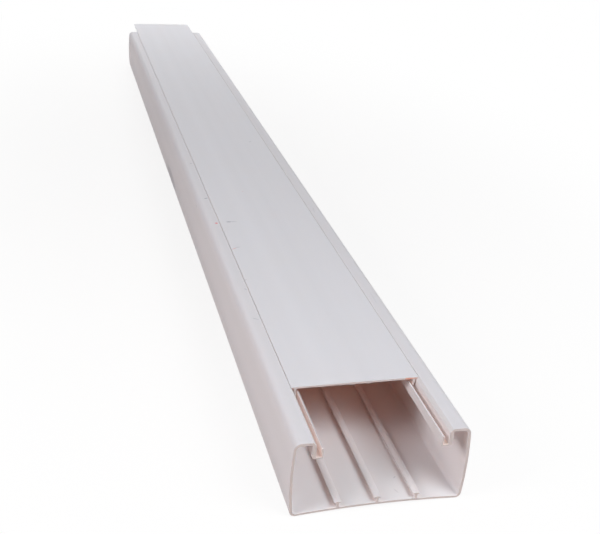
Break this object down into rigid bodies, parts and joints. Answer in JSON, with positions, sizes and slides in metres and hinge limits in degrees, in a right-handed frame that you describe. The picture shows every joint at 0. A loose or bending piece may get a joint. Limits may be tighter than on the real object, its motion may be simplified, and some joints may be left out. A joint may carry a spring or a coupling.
{
  "type": "adhesive cable trunking",
  "caption": "White extruded cable trunking with T ribs along its floor, lid grooves under both lips, a flush push-on lid that slides, and adhesive strips under its back.",
  "frame": {"origin": "middle of the whole part's length and width, on the plane of the adhesive back that it lies on", "axes": "+X across the width, +Y along the length from the end that shows the open grooves to the end where the lid stands out, +Z from the back up to the lid"},
  "size_m": [0.105, 1.055, 0.049],
  "materials": {
    "base_pvc": "satin",
    "lid_pvc": "satin",
    "adhesive_liner": "satin"
  },
  "bodies": {
    "base": {"trunking_base": "base_pvc", "adhesive_strip_left": "adhesive_liner", "adhesive_strip_right": "adhesive_liner"},
    "cover": {"lid": "lid_pvc"}
  },
  "joints": [
    {"name": "lid_slide", "type": "slide", "parent": "base", "child": "cover", "axis": [0, 1, 0], "range_m": [-0.055, 0.9]}
  ]
}
